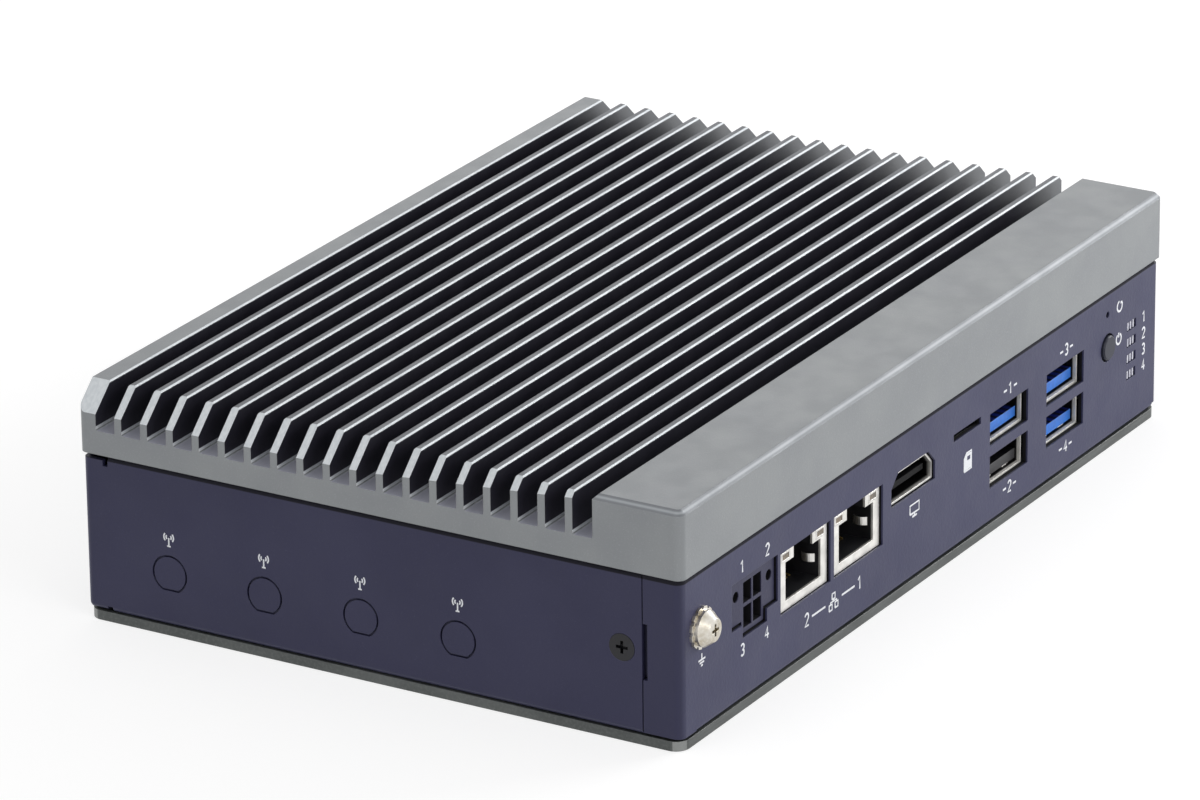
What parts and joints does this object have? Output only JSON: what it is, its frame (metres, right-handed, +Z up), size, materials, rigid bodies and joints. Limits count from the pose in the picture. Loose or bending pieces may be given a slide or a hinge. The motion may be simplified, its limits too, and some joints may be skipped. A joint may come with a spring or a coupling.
{
  "type": "fanless industrial computer",
  "caption": "Compact fanless industrial computer: finned aluminium heatsink cover on a folded steel box with a port panel, flat base plate and antenna knock-outs.",
  "frame": {"origin": "centre of the base plate's underside", "axes": "+X to the right along the port panel seen from the front, +Y from the port panel to the rear, +Z up"},
  "size_m": [0.17, 0.118, 0.042],
  "materials": {
    "cover_aluminium": "satin",
    "housing_paint": "matt",
    "plate_steel": "satin",
    "black_screw": "satin",
    "zinc": "satin",
    "nickel": "polished",
    "black_plastic": "matt",
    "grey_plastic": "matt",
    "blue_plastic": "satin",
    "clear_plastic": "clear",
    "gold": "polished",
    "board": "satin",
    "chip": "matt",
    "pad": "matt",
    "cell_steel": "satin"
  },
  "bodies": {
    "housing": {"base_plate": "plate_steel", "base_screws": "black_screw", "board_screws": "zinc", "card_posts": "zinc", "card_socket": "nickel", "cell_holder": "black_plastic", "chassis": "housing_paint", "coin_cell": "cell_steel", "cover_screws": "zinc", "flange_nuts": "zinc", "front_panel": "housing_paint", "ground_nut": "zinc", "ground_screw": "nickel", "ground_washer": "nickel", "heatsink_cover": "cover_aluminium", "jack_contacts_1": "gold", "jack_contacts_2": "gold", "jack_housing_1": "black_plastic", "jack_housing_2": "black_plastic", "jack_lamps_1": "clear_plastic", "jack_lamps_2": "clear_plastic", "jack_shield_1": "nickel", "jack_shield_2": "nickel", "light_pipe": "clear_plastic", "mainboard": "board", "memory_module": "board", "memory_socket": "black_plastic", "mounting_nuts": "zinc", "power_coils": "black_plastic", "power_header": "black_plastic", "power_pins": "gold", "power_switch": "black_plastic", "processor": "chip", "reset_switch": "black_plastic", "serial_shell_1": "nickel", "serial_shell_2": "nickel", "serial_tongue_1": "blue_plastic", "serial_tongue_2": "black_plastic", "serial_tongue_3": "blue_plastic", "serial_tongue_4": "blue_plastic", "side_screws": "black_screw", "ssd_card": "board", "ssd_socket": "black_plastic", "thermal_pad": "pad", "video_insert": "black_plastic", "video_shell": "nickel", "wireless_card": "board", "wireless_socket": "black_plastic"},
    "power_button": {"power_button": "grey_plastic", "power_plunger": "grey_plastic"},
    "reset_plunger": {"reset_plunger": "grey_plastic"}
  },
  "joints": [
    {"name": "power_button_press", "type": "slide", "parent": "housing", "child": "power_button", "axis": [0, 1, 0], "range_m": [0, 0.0005], "stiffness_N_per_m": 3000},
    {"name": "reset_press", "type": "slide", "parent": "housing", "child": "reset_plunger", "axis": [0, 1, 0], "range_m": [0, 0.00025], "stiffness_N_per_m": 3000}
  ]
}
